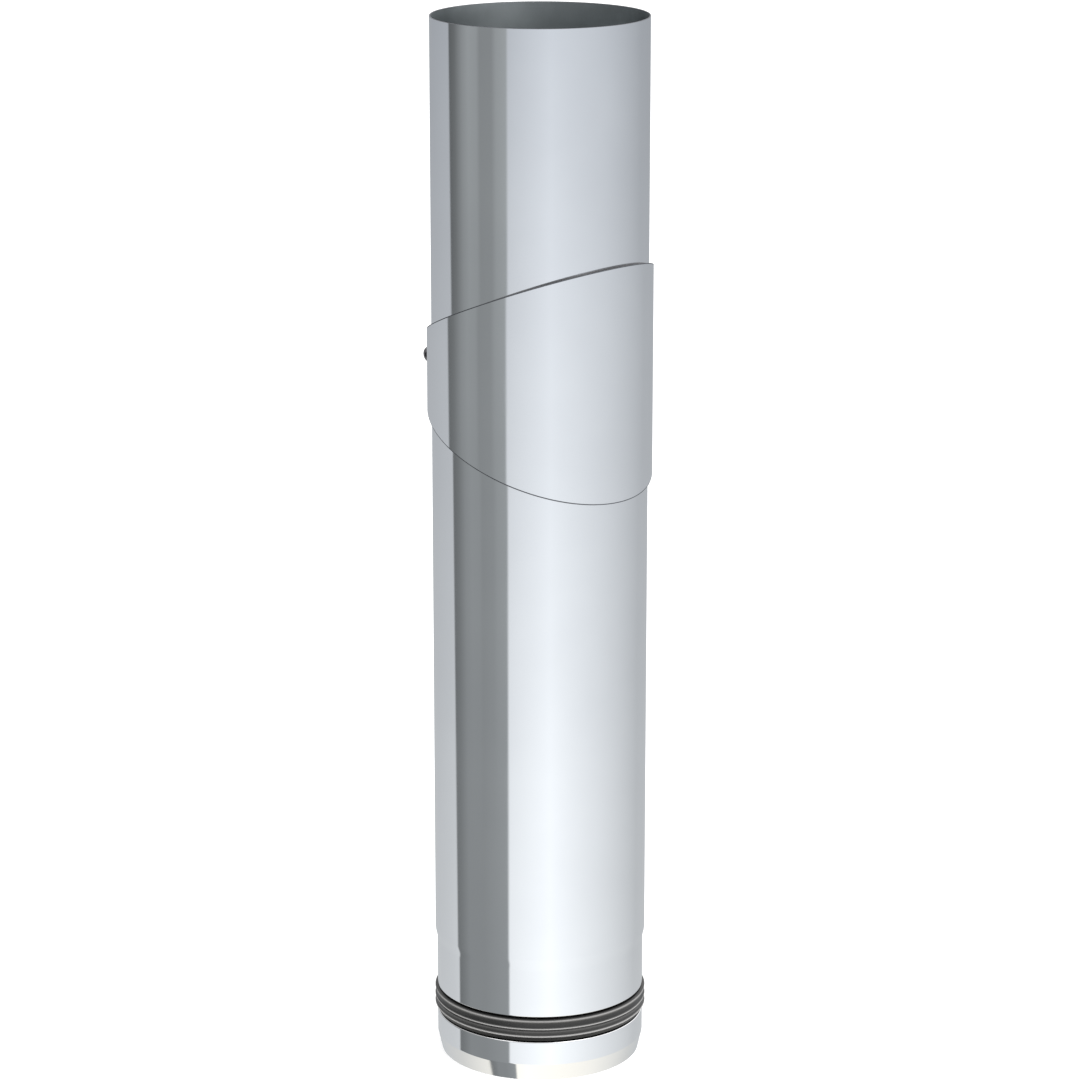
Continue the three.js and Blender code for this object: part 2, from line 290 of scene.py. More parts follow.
def rod_along_z(name, radius, low, high, steps=48):
    """A plain rod on the Z axis."""
    ring = [(radius * math.cos(math.tau * i / steps), radius * math.sin(math.tau * i / steps))
            for i in range(steps)]
    return loft(name, [[(x, y, z) for x, y in ring] for z in (low, high)], closed=False)


def threaded_rod(name, radius, pitch, low, high, depth_share=0.61, steps=36, rows_per_turn=8):
    """A rod with a real helical thread and a chamfer at each end."""
    rows = int((high - low) / pitch * rows_per_turn)
    depth = pitch * depth_share
    sections = []
    for row in range(rows + 1):
        z = low + (high - low) * row / rows
        near_end = min(z - low, high - z)
        ring = []
        for step in range(steps):
            phase = (z / pitch - step / steps) % 1
            ridge = min(1, 2.6 * (0.5 - abs(phase - 0.5)))
            r = min(radius - depth * (1 - ridge), radius - depth + near_end)
            turn = math.tau * step / steps
            ring.append((r * math.cos(turn), r * math.sin(turn), z))
        sections.append(ring)
    return loft(name, sections, closed=False, sharp_degrees=60)


def hex_nut(name, across_flats, height, bore):
    """A hexagon nut on Z from 0 up, with chamfered corners and bore."""
    corner = across_flats / math.sqrt(3)
    ring = [(corner * math.cos(math.pi / 3 * i), corner * math.sin(math.pi / 3 * i)) for i in range(6)]
    nut = loft(name, [[(x, y, z) for x, y in ring] for z in (0, height)], closed=False)
    face = across_flats / 2 * 0.97
    fall = (corner - face) * math.tan(math.radians(30))
    barrel = [(0.001, 0), (face, 0), (corner + 0.3, fall + 0.17), (corner + 0.3, height - fall - 0.17),
              (face, height), (0.001, height)]
    boolean(nut, revolve("barrel", barrel, 72), "INTERSECT")
    mouth = bore + 0.35
    drill = [(0.001, -1), (mouth + 1, -1), (bore, mouth - bore), (bore, height - mouth + bore),
             (mouth + 1, height + 1), (0.001, height + 1)]
    boolean(nut, revolve("drill", drill, 48), "DIFFERENCE")
    return bevel(nut, 0.09, 2)


def copy_of(obj, name):
    """Another object with the same mesh."""
    twin = bpy.data.objects.new(name, obj.data)
    bpy.context.scene.collection.objects.link(twin)
    return twin


def move_mesh(obj, matrix):
    """Moves the mesh itself, given in millimetres, so the object stays at the origin."""
    scaled = matrix.copy()
    scaled.translation = matrix.translation * MM
    obj.data = obj.data.copy()
    obj.data.transform(scaled)
    return obj


def inward_matrix(radius, degrees, z):
    """Turns +Z to the pipe's axis, with the origin on the wall at that angle and height."""
    inward = -window_point(1, degrees)
    turn = inward.to_track_quat("Z", "Y").to_matrix().to_4x4()
    return Matrix.Translation(window_point(radius, degrees, z)) @ turn


def clamp_matrix(x=0.0):
    """Turns +Z to +X, on the clamp screw's axis."""
    turn = Matrix.Rotation(math.pi / 2, 4, "Y")
    return Matrix.Translation(Vector((x, CLAMP_Y, WINDOW_Z))) @ turn


def turned_normals(obj, shortest=1.0):
    """Gives the tall faces of a turned piece their exact normals, so that it mirrors cleanly."""
    mesh = obj.data
    normals = []
    for face in mesh.polygons:
        heights = [mesh.vertices[index].co.z / MM for index in face.vertices]
        across = Vector((face.center.x, face.center.y, 0)).normalized()
        side = face.normal.dot(across)
        tall = abs(side) > 0.9 and max(heights) - min(heights) > shortest
        exact = tall or abs(side) > 0.9998
        axial = face.normal.z
        if SWAGE_BOTTOM - SWAGE_BEND < (min(heights) + max(heights)) / 2 < SWAGE_TOP + SWAGE_BEND:
            exact = True
            axial *= SWAGE_SHADE
        for index in face.loop_indices:
            place = mesh.vertices[mesh.loops[index].vertex_index].co
            radial = Vector((place.x, place.y, 0)).normalized()
            radial *= math.copysign(math.sqrt(1 - axial ** 2), side)
            normals.append(radial + Vector((0, 0, axial)) if exact else Vector((0, 0, 0)))
    mesh.normals_split_custom_set(normals)


# ---------------------------------------------------------------- materials


def grey(level, tint=(1, 1, 1)):
    """A grey of this brightness with a slight tint."""
    return tuple(level * part for part in tint)


def fill_ramp(elements, stops):
    """Sets a colour ramp's stops, given as (place, colour) from low to high."""
    while len(elements) < len(stops):
        elements.new(0.5)
    for element, (place, colour) in zip(elements, stops):
        element.position = place
        element.color = (*colour, 1)


class Nodes:
    """Short words for building one material's nodes."""

    def __init__(self, name):
        self.material = bpy.data.materials.new(name)
        self.material.use_nodes = True
        self.tree = self.material.node_tree
        self.shader = self.tree.nodes["Principled BSDF"]
        self.place = self.tree.nodes.new("ShaderNodeTexCoord").outputs["Object"]

    def link(self, source, target):
        self.tree.links.new(source, target)

    def node(self, kind, **inputs):
        made = self.tree.nodes.new(kind)
        for key, value in inputs.items():
            made.inputs[key.replace("_", " ")].default_value = value
        return made

    def stretched(self, scale):
        made = self.node("ShaderNodeMapping")
        made.inputs["Scale"].default_value = scale
        self.link(self.place, made.inputs["Vector"])
        return made.outputs["Vector"]

    def noise(self, scale, detail=3.0, roughness=0.5, vector=None):
        made = self.node("ShaderNodeTexNoise", Scale=scale, Detail=detail, Roughness=roughness)
        self.link(vector or self.place, made.inputs["Vector"])
        return made.outputs["Fac"]

    def span(self, value, low, high, from_low=0.3, from_high=0.7):
        made = self.tree.nodes.new("ShaderNodeMapRange")
        made.inputs["From Min"].default_value = from_low
        made.inputs["From Max"].default_value = from_high
        made.inputs["To Min"].default_value = low
        made.inputs["To Max"].default_value = high
        self.link(value, made.inputs["Value"])
        return made.outputs["Result"]

    def maths(self, operation, a, b):
        made = self.tree.nodes.new("ShaderNodeMath")
        made.operation = operation
        for socket, value in zip(made.inputs, (a, b)):
            if isinstance(value, (int, float)):
                socket.default_value = value
            else:
                self.link(value, socket)
        return made.outputs[0]

    def blend(self, value, dark, light):
        made = self.tree.nodes.new("ShaderNodeMix")
        made.data_type = "RGBA"
        made.inputs["A"].default_value = (*dark, 1)
        made.inputs["B"].default_value = (*light, 1)
        self.link(value, made.inputs["Factor"])
        return made.outputs["Result"]

    def ramp(self, value, stops):
        made = self.tree.nodes.new("ShaderNodeValToRGB")
        fill_ramp(made.color_ramp.elements, stops)
        self.link(value, made.inputs["Fac"])
        return made.outputs["Color"]

    def bump(self, height, strength, distance):
        made = self.node("ShaderNodeBump", Strength=strength, Distance=distance)
        self.link(height, made.inputs["Height"])
        self.link(made.outputs["Normal"], self.shader.inputs["Normal"])

    def colour(self, noise, dark, light):
        """The base colour drifts between two colours with the noise."""
        self.link(self.blend(self.span(noise, 0, 1), dark, light), self.shader.inputs["Base Color"])

    def roughness(self, noise, *limits):
        """The roughness drifts between two limits with the noise."""
        self.link(self.span(noise, *limits), self.shader.inputs["Roughness"])

    def set(self, **inputs):
        for key, value in inputs.items():
            self.shader.inputs[key.replace("_", " ")].default_value = value


def polished_steel():
    """Bright-rolled stainless sheet: soft smudges, faint rolling grain, a few fine scuffs."""
    n = Nodes("polished_stainless")
    n.set(Metallic=1.0)
    cloud = n.noise(14, 4, 0.55)
    n.colour(cloud, (0.80, 0.805, 0.815), (0.845, 0.85, 0.857))
    grain = n.noise(900, 2, 0.6, n.stretched((0.35, 0.35, 2.6)))
    scuffs = n.noise(60, 6, 0.75, n.stretched((1.0, 1.0, 0.22)))
    smudge = n.span(cloud, 0.055, 0.085)
    scratch = n.span(scuffs, 0, 0.05, 0.58, 0.75)
    n.link(n.maths("ADD", smudge, scratch), n.shader.inputs["Roughness"])
    n.bump(grain, 0.035, 0.00002)
    return n.material


def sheared_steel():
    """The dull cut edges of the pipe and the cover, darkened, and the strip beside the cover's: a painted
    shade line along the edges.
    """
    n = Nodes("sheared_stainless_and_shade_line")
    n.set(Metallic=1.0)
    streaks = n.noise(500, 4, 0.6)
    # This dark colour paints a shade line along the cut edges.
    n.colour(streaks, (0.115, 0.12, 0.135), (0.165, 0.17, 0.185))
    n.roughness(streaks, 0.4, 0.6)
    return n.material


def pressed_steel():
    """The thick sheet of the clamp's bent lugs, with the mill's dull finish."""
    n = Nodes("pressed_stainless")
    n.set(Metallic=1.0)
    cloud = n.noise(80, 5, 0.6)
    n.colour(cloud, (0.60, 0.605, 0.615), (0.70, 0.705, 0.715))
    n.roughness(cloud, 0.30, 0.42)
    n.bump(n.noise(2400, 3, 0.6), 0.15, 0.00003)
    return n.material


def pickled_steel():
    """The pipe's inside: the dull pickled side of the sheet, its colour darkened as painted shade inside the
    pipe.
    """
    n = Nodes("pickled_stainless_and_shade")
    n.set(Metallic=1.0)
    cloud = n.noise(25, 5, 0.6)
    # This low colour is partly the pickled finish and partly painted shade inside the pipe.
    n.colour(cloud, (0.315, 0.345, 0.36), (0.38, 0.415, 0.43))
    n.roughness(cloud, 0.33, 0.45)
    n.bump(n.noise(1500, 3, 0.6), 0.12, 0.00003)
    return n.material


def cast_steel():
    """The retainer's bead-blasted casting, and the grey ring of a spot weld."""
    n = Nodes("cast_stainless")
    n.set(Metallic=1.0)
    cloud = n.noise(60, 5, 0.6)
    n.colour(cloud, (0.52, 0.52, 0.52), (0.66, 0.66, 0.65))
    n.roughness(cloud, 0.36, 0.52)
    n.bump(n.noise(2600, 3, 0.7), 0.35, 0.00006)
    return n.material


def fastener_steel():
    """Turned and rolled stainless of screws, nuts and washers."""
    n = Nodes("fastener_stainless")
    n.set(Metallic=1.0)
    cloud = n.noise(220, 4, 0.6)
    n.colour(cloud, (0.16, 0.155, 0.165), (0.24, 0.235, 0.245))
    n.roughness(cloud, 0.42, 0.56)
    n.bump(n.noise(3000, 3, 0.6), 0.15, 0.00003)
    return n.material


def moulded_epdm(name="moulded_epdm", shine=0.4, smoothest=0.42):
    """Black moulded rubber with a fine skin and faint dusty bloom."""
    n = Nodes(name)
    n.set(Metallic=0.0, IOR=1.52, Specular_IOR_Level=shine)
    bloom = n.noise(90, 6, 0.65)
    n.colour(bloom, (0.016, 0.016, 0.018), (0.030, 0.030, 0.033))
    n.roughness(bloom, smoothest, smoothest + 0.14)
    n.bump(n.noise(2200, 4, 0.7), 0.25, 0.00005)
    return n


def lip_seal_epdm(lip):
    """The seal's rubber, painted pale on its lips' outer tips as highlights and near-black in its grooves as
    shade.
    """
    n = moulded_epdm("lip_seal_epdm", shine=0.4, smoothest=0.34)
    radius = n.tree.nodes.new("ShaderNodeVectorMath")
    radius.operation = "LENGTH"
    n.link(n.stretched((1, 1, 0)), radius.inputs[0])
    # The distance from the axis, from the grooves out to the lips' tips, sets the painted shade and
    # highlights.
    height = n.span(radius.outputs["Value"], 0, 1, (lip - 0.6) * MM, lip * MM)
    warm = (1.0, 0.985, 0.965)
    # The near-black stops paint shade in the grooves; the pale stops paint highlights on the tips.
    stops = [(0.0, grey(0.008, warm)), (0.25, grey(0.02, warm)), (0.5, grey(0.036, warm)),
             (0.72, grey(0.12, warm)), (1.0, grey(0.36, warm))]
    n.link(n.ramp(height, stops), n.shader.inputs["Base Color"])
    return n.material


def sight_glass():
    """Clear borosilicate with a trace of green and the faintest smears."""
    n = Nodes("clear_glass")
    n.set(Metallic=0.0, IOR=1.474, Transmission_Weight=1.0)
    smear = n.noise(40, 5, 0.6)
    n.colour(smear, (0.93, 0.97, 0.95), (0.97, 0.99, 0.98))
    n.roughness(smear, 0.01, 0.045, 0.45, 0.8)
    n.bump(n.noise(35, 2, 0.4), 0.03, 0.0002)
    return n.material


POLISHED = polished_steel()
PICKLED = pickled_steel()
SHEARED = sheared_steel()
PRESSED = pressed_steel()
CAST = cast_steel()
FASTENER = fastener_steel()
EPDM = moulded_epdm().material
# The seal's rubber carries painted highlights on its lips and painted shade in its grooves.
SEAL_EPDM = lip_seal_epdm(seal_high.x)
GLASS = sight_glass()


def finish(obj, body, material, slot, *nodes):
    """Gives a piece its material and body, and hides the CAD nodes that it stands for. The slot is not used.
    """
    obj.data.materials.clear()
    obj.data.materials.append(material)
    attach(obj, body)
    if nodes:
        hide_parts(*nodes)
    return obj


# ---------------------------------------------------------------- pipe


def smooth_path(points, corners, steps=5):
    """An open outline with each inner corner rounded by its own amount."""
    result = [points[0]]
    for before, here, after, corner in zip(points, points[1:], points[2:], corners):
        mid = Vector(here)
        back = Vector(before) - mid
        on = Vector(after) - mid
        reach = min(corner, back.length / 2.1, on.length / 2.1)
        start = mid + back.normalized() * reach
        end = mid + on.normalized() * reach
        for step in range(steps + 1):
            t = step / steps
            result.append(tuple(start * (1 - t) ** 2 + mid * (2 * t * (1 - t)) + end * t ** 2))
    result.append(points[-1])
    return result


def pipe_outline(offset):
    """The sheet's outer or inner line from the lower end to the upper one."""
    groove_low = seal_low.z - 0.4
    groove_high = seal_high.z + 0.4
    flare = 0.4
    corners = [
        (SPIGOT_R, LEAD_IN_TOP, 0.1, 0.25),
        (SPIGOT_R, groove_low - flare, -1, 0.5),
        (GROOVE_R, groove_low, -1, 0.5),
        (GROOVE_R, groove_high, 1, 0.5),
        (SPIGOT_R, groove_high + flare, 1, 0.5),
        (SPIGOT_R, SWAGE_BOTTOM, 0.1, SWAGE_BEND),
        (PIPE_R, SWAGE_TOP, 0.1, SWAGE_BEND),
    ]
    points = [(LEAD_IN_R - offset, pipe_low.z)]
    points += [(r - offset, z + shift * offset) for r, z, shift, _ in corners]
    points.append((PIPE_R - offset, PIPE_TOP))
    return smooth_path(points, [corner for *_, corner in corners])


def make_pipe():
    """The thin-walled tube: lead-in, seal groove, swage and plain end, with the window's port."""
    outer = pipe_outline(0)
    inner = pipe_outline(WALL)
    rim = 0.12
    outer[-1] = (PIPE_R, PIPE_TOP - rim)
    inner[-1] = (PIPE_R - WALL, PIPE_TOP - rim)
    top = [(PIPE_R - rim, PIPE_TOP), (PIPE_R - WALL + rim, PIPE_TOP)]
    pipe = revolve("pipe_shell", outer + top + inner[::-1])
    boolean(pipe, port_tool(), "DIFFERENCE")
    turned_normals(pipe)
    finish(pipe, "pipe", POLISHED, "pipe_steel", "pipe_body")
    pipe.data.materials.append(PICKLED)
    pipe.data.materials.append(SHEARED)
    for face in pipe.data.polygons:
        across = Vector((face.center.x, face.center.y, 0)).normalized()
        # Inward faces get the darker pickled steel, partly painted shade inside the pipe.
        face.material_index = INSIDE if face.normal.dot(across) < FACES_INWARD else 0
        # The cut top rim gets the darkened cut-edge steel, a painted shade line round the rim.
        if face.center.z > (PIPE_TOP - rim) * MM:
            face.material_index = CUT
    return pipe


def make_weld_seam():
    """The pipe's long weld, ground almost flush, opposite the window."""
    half = 1.1
    proud = 0.07
    low = SWAGE_TOP + 1.5
    high = PIPE_TOP - 0.3
    sections = []
    rows = 160
    for row in range(rows + 1):
        z = low + (high - low) * row / rows
        ripple = 1 + 0.12 * math.sin(row * 2.1)
        ring = []
        for i in range(9):
            t = i / 4 - 1
            r = PIPE_R + proud * ripple * (1 - t * t) - 0.01
            ring.append(window_point(r, 180 + math.degrees(half * t / PIPE_R), z))
        ring += [window_point(PIPE_R - 0.1, 180 + math.degrees(half * t / PIPE_R), z) for t in (1, -1)]
        sections.append(ring)
    seam = loft("pipe_weld_seam", sections, closed=False, sharp_degrees=60)
    return finish(seam, "pipe", POLISHED, "pipe_steel")


def make_seal():
    """Three lips on a base in the groove, each with a ledge on top."""
    low = seal_low.z
    top = seal_high.z
    lip = seal_high.x
    base = GROOVE_R + 0.2
    foot = 48.9
    first_lip = [(foot, 0), (49.6, 0.15), (lip - 0.12, 0.45), (lip - 0.03, 0.8), (lip - 0.15, 1.3),
                 (lip - 0.42, 2.1), (lip - 0.5, 3.9)]
    second_lip = [(lip - 0.45, 4.2), (lip, 4.6), (lip, 4.95), (lip - 0.5, 5.3), (lip - 0.55, 5.6),
                  (lip - 0.22, 5.95), (lip - 0.28, 6.5), (lip - 0.45, 7.6)]
    third_lip = [(lip - 0.4, 7.85), (lip, 8.25), (lip, 8.7), (lip - 0.7, 9.3), (foot + 0.2, 10.2),
                 (foot, top - low - 0.1)]
    profile = [(base, top)]
    profile += [(r, top - depth) for r, depth in first_lip + second_lip + third_lip]
    profile += [(foot, low), (base, low)]
    seal = revolve("lip_seal", round_corners(profile, 0.22, 3), sharp_degrees=70)
    return finish(seal, "pipe", SEAL_EPDM, "epdm", "spigot_lip_seal")


# ---------------------------------------------------------------- window


def make_window():
    """Gasket, glass, cushion and retainer, clamped to the wall's inside by studs and nuts."""
    frame_half = (frame_high.z - frame_low.z) / 2
    glass_half = (glass_high.z - glass_low.z) / 2
    low, high = WINDOW_Z - frame_half, WINDOW_Z + frame_half
    glass_band = (WINDOW_Z - glass_half, WINDOW_Z + glass_half)

    gasket = sector("wall_gasket", *GASKET_RADII, FRAME_HALF_DEGREES, low, high)
    boolean(gasket, port_tool(-0.8), "DIFFERENCE")
    finish(bevel(gasket, 0.2), "pipe", EPDM, "epdm", "window_gasket")

    glass = bevel(sector("curved_glass", *GLASS_RADII, GLASS_HALF_DEGREES, *glass_band), 0.5)
    finish(glass, "pipe", GLASS, "glass", "window_glass")

    cushion = sector("cushion_frame", *CUSHION_RADII, GLASS_HALF_DEGREES, *glass_band)
    boolean(cushion, port_tool(0.6), "DIFFERENCE")
    finish(bevel(cushion, 0.2), "pipe", EPDM, "epdm", "glass_cushion")

    retainer = sector("retainer_frame", *RETAINER_RADII, FRAME_HALF_DEGREES, low, high)
    rebate_ends = (glass_band[0] - 0.4, glass_band[1] + 0.4)
    boolean(retainer, sector("rebate", *REBATE_RADII, REBATE_HALF_DEGREES, *rebate_ends), "DIFFERENCE")
    boolean(retainer, port_tool(), "DIFFERENCE")
    finish(bevel(retainer, 0.45), "pipe", CAST, "cast_steel", "window_retainer")

    stud_angle = 41.5
    stud_height = 45
    stud = threaded_rod("stud", STUD_R, STUD_PITCH, 0, STUD_LENGTH, steps=28)
    nut = hex_nut("nut", STUD_NUT_FLATS, STUD_NUT_HEIGHT, STUD_NUT_BORE_R)
    index = 0
    for height in (-stud_height, 0, stud_height):
        for angle in (-stud_angle, 0, stud_angle):
            if height == 0 and angle == 0:
                continue
            index += 1
            this_stud = copy_of(stud, f"weld_stud_{index}")
            move_mesh(this_stud, inward_matrix(STUD_FOOT_R, angle, WINDOW_Z + height))
            finish(this_stud, "pipe", FASTENER, "fastener_steel", f"window_stud_{index}")
            this_nut = copy_of(nut, f"hex_nut_{index}")
            move_mesh(this_nut, inward_matrix(STUD_NUT_FOOT_R, angle, WINDOW_Z + height))
            finish(this_nut, "pipe", FASTENER, "fastener_steel", f"window_nut_{index}")
    bpy.data.objects.remove(stud)
    bpy.data.objects.remove(nut)


# ---------------------------------------------------------------- cover


def edge_height(y, proud):
    """Half the sleeve's height where it crosses this Y: both edges are slanting planes."""
    tall = (band_high.z - band_low.z) / 2
    return tall - EDGE_SLOPE * (y + BAND_R) + proud


def sleeve_section(degrees, inner, outer, above, below, corner, steps=3, line=0.0):
    """The sleeve's cross-section at one angle, this far proud of the two slanting planes.

    A line sets off a narrow strip of the outer face along each edge, where a shade line is painted.
    """
    ring = []
    outline = round_corners([(inner, -1), (outer, -1), (outer, 1), (inner, 1)], corner, steps)
    if line:
        half = len(outline) // 2
        outline[half:half] = [(outer, -1 + line), (outer, 1 - line)]
    for r, z in outline:
        place = window_point(r, degrees)
        half = edge_height(place.y, above if z > 0 else below)
        height = math.copysign(half - (1 - abs(z)), z)
        ring.append((place.x, place.y, WINDOW_Z + height))
    return ring


def paint_cut_edges(obj):
    """Gives the sleeve's edges and the strip beside them the darkened cut-sheet steel, a painted shade line.
    """
    obj.data.materials.append(SHEARED)
    cut = len(obj.data.materials) - 1
    for face in obj.data.polygons:
        middle = face.center / MM
        across = Vector((middle.x, middle.y, 0)).normalized()
        # The strip next to each edge is painted dark as a shade line.
        strip = edge_height(middle.y, 0) - abs(middle.z - WINDOW_Z) < EDGE_LINE
        if strip or abs(face.normal.dot(across)) < FACES_OUTWARD:
            face.material_index = cut


def make_cover():
    """The stainless sleeve, open at the clamp, and its soft liner, which goes all the way round."""
    gap_degrees = math.degrees(math.asin(SLEEVE_GAP_HALF / BAND_R))
    steps = ROUND_STEPS
    reach = 180 - gap_degrees
    angles = [-reach + 2 * reach * i / steps for i in range(steps + 1)]
    inner = BAND_R - SHEET
    sections = [sleeve_section(angle, inner, BAND_R, 0, 0, 0.15, line=EDGE_LINE) for angle in angles]
    band = loft("cover_sleeve", sections, closed=False)
    turned_normals(band)
    finish(band, "cover", POLISHED, "pipe_steel", "cover_band")
    paint_cut_edges(band)

    liner_in = PIPE_R + LINER_TO_PIPE
    liner_out = inner - LINER_TO_SLEEVE
    proud = (LINER_PROUD_ABOVE, LINER_PROUD_BELOW)
    rings = [sleeve_section(360 * i / steps, liner_in, liner_out, *proud, 0.2) for i in range(steps)]
    liner = boolean(loft("sleeve_liner", rings, closed=True), port_tool(0.4), "DIFFERENCE")
    finish(liner, "liner", EPDM, "epdm", "cover_liner")


def lug_plan(side):
    """The lug seen from above: a foot that follows the sleeve, a bend, and an upright ear."""
    foot_in = BAND_R + LUG_CLEARANCE
    foot_out = foot_in + LUG_SHEET
    ear_in = lug_low.x
    ear_out = ear_in + LUG_SHEET
    top = lug_high.y
    steps = 12
    start = math.degrees(math.asin((ear_in + 0.9) / foot_in))
    inside = []
    outside = []
    for i in range(steps + 1):
        angle = math.radians(LUG_END_DEGREES + (start - LUG_END_DEGREES) * i / steps)
        inside.append((foot_in * math.sin(angle), foot_in * math.cos(angle)))
    bend_start = math.degrees(math.asin((ear_out + 1.0) / foot_out))
    for i in range(steps + 1):
        angle = math.radians(bend_start + (LUG_END_DEGREES - bend_start) * i / steps)
        outside.append((foot_out * math.sin(angle), foot_out * math.cos(angle)))
    base_y = math.sqrt(foot_in ** 2 - ear_in ** 2)
    bend = [(ear_in + 0.35, base_y + 0.12), (ear_in, base_y + 0.8)]
    crook = [(ear_out, base_y + 2.5), (ear_out + 0.25, base_y + 1.75)]
    points = inside + bend + [(ear_in, top), (ear_out, top)] + crook + outside
    return [(side * x, y) for x, y in points]


def make_lug(side):
    """One bent lug, spot-welded on the sleeve's end."""
    name = "lug_far" if side > 0 else "lug_near"
    node = "clamp_lug_right" if side > 0 else "clamp_lug_left"
    half = (lug_high.z - lug_low.z) / 2
    plan = lug_plan(side)
    lug = loft(name, [[(x, y, WINDOW_Z + z) for x, y in plan] for z in (-half, half)], closed=False)
    outline = rounded_rectangle(2 * (lug_high.y - 40), 2 * half, LUG_CORNER)
    shape = [[(x, 40 + y, WINDOW_Z + z) for y, z in outline] for x in (-60, 60)]
    boolean(lug, loft("corners", shape, closed=False), "INTERSECT")
    drill = move_mesh(rod_along_z("drill", LUG_HOLE_R, -30, 30), clamp_matrix())
    boolean(lug, drill, "DIFFERENCE")
    finish(bevel(lug, 0.2), "cover", PRESSED, "pipe_steel", node)
    for height in (-SPOT_WELD_HEIGHT, SPOT_WELD_HEIGHT):
        for degrees in SPOT_WELD_DEGREES:
            make_spot_weld(side, degrees, height)


def make_spot_weld(side, degrees, height):
    """The shallow ring that a spot welder leaves on the lug's foot."""
    foot_out = BAND_R + LUG_CLEARANCE + LUG_SHEET
    profile = [(0.001, -0.2), (1.9, -0.2), (1.9, 0.03), (1.6, 0.14), (1.35, 0.03), (1.2, 0.0), (0.001, 0.02)]
    where = "far" if side > 0 else "near"
    tag = f"{where}_{int(degrees)}_{'up' if height > 0 else 'down'}"
    weld = revolve(f"spot_weld_{tag}", profile, 40, 70)
    outward = window_point(1, 180 - side * degrees)
    turn = outward.to_track_quat("Z", "Y").to_matrix().to_4x4()
    middle = window_point(foot_out, 180 - side * degrees, WINDOW_Z + height)
    move_mesh(weld, Matrix.Translation(middle) @ turn)
    finish(weld, "cover", CAST, "pipe_steel")


def make_screw():
    """Domed socket-head screw with a rolled thread."""
    head_r = (screw_high.z - screw_low.z) / 2
    under = lock_low.x - 0.05
    tip = screw_low.x
    height = under - tip
    edge = 0.8
    profile = [(0.001, 0)]
    for step in range(1, 13):
        turn = step / 12 * math.pi / 2
        profile.append((head_r * math.sin(turn), (height - edge) * (1 - math.cos(turn))))
    profile += [(head_r, height - 0.15), (head_r - 0.15, height), (0.001, height)]
    head = revolve("clamp_bolt", profile, 96)
    hexagon = SOCKET_FLATS / math.sqrt(3)
    ring = [(hexagon * math.cos(math.pi / 3 * i), hexagon * math.sin(math.pi / 3 * i)) for i in range(6)]
    socket = loft("socket", [[(x, y, z) for x, y in ring] for z in (-1, SOCKET_DEPTH)], closed=False)
    boolean(head, socket, "DIFFERENCE")
    bevel(head, 0.06, 2)
    shank = threaded_rod("shank", SCREW_R, SCREW_PITCH, height - 0.2, screw_high.x - tip)
    boolean(head, shank, "UNION")
    move_mesh(head, clamp_matrix(tip))
    tidy_mesh(head, 40)
    finish(head, "screw", FASTENER, "fastener_steel", "clamp_screw")


def make_washers():
    """A flat washer against the lug and a split spring washer under the head."""
    outer = (washer_high.z - washer_low.z) / 2
    thick = washer_high.x - washer_low.x
    hole = 2.15
    outline = [(hole, 0), (outer, 0), (outer, thick), (hole, thick)]
    flat = revolve("flat_washer", round_corners(outline, 0.15), 96)
    move_mesh(flat, clamp_matrix(washer_low.x + 0.15))
    finish(flat, "washers", FASTENER, "fastener_steel", "clamp_washer")
    thick = lock_high.x - lock_low.x
    split = 0.24
    steps = 96
    sections = []
    for i in range(steps + 1):
        turn = split / 2 + (math.tau - split) * i / steps
        lift = thick * 0.16 * (i / steps - 0.5)
        square = round_corners([(2.2, 0.05), (outer, 0.05), (outer, thick - 0.05), (2.2, thick - 0.05)], 0.12)
        sections.append([(r * math.cos(turn), r * math.sin(turn), z + lift) for r, z in square])
    spring = loft("spring_washer", sections, closed=False)
    move_mesh(spring, clamp_matrix(lock_low.x + 0.05))
    finish(spring, "washers", FASTENER, "fastener_steel", "clamp_lock_washer")


def make_clamp_nut():
    """The hexagon nut on the far lug."""
    flats = min(nut_high.y - nut_low.y, nut_high.z - nut_low.z)
    nut = hex_nut("clamp_hex_nut", flats, nut_high.x - nut_low.x, CLAMP_NUT_BORE_R)
    move_mesh(nut, clamp_matrix(nut_low.x - 0.1))
    finish(nut, "cover", FASTENER, "fastener_steel", "clamp_nut")


# ---------------------------------------------------------------- studio


TOWARD_CAMERA = Vector((-math.sqrt(0.5), -math.sqrt(0.5), 0))
CAMERA_RIGHT = Vector((math.sqrt(0.5), -math.sqrt(0.5), 0))


def make_camera():
    """The long-lens camera, placed in pipe radii from the pipe's axis and the seal's top."""
    distance = 34.449
    height = 13.582
    pitch = math.radians(14.947)
    camera = bpy.data.cameras.new("camera")
    camera.sensor_width = 36
    camera.lens = 127.41
    camera.clip_end = 100
    obj = bpy.data.objects.new("camera", camera)
    bpy.context.scene.collection.objects.link(obj)
    seal_top = seal_high.z + 0.2
    obj.location = (TOWARD_CAMERA * distance * PIPE_R + Vector((0, 0, seal_top + height * PIPE_R))) * MM
    look = -TOWARD_CAMERA * math.cos(pitch) - Vector((0, 0, math.sin(pitch)))
    obj.rotation_euler = look.to_track_quat("-Z", "Y").to_euler()
    bpy.context.scene.camera = obj


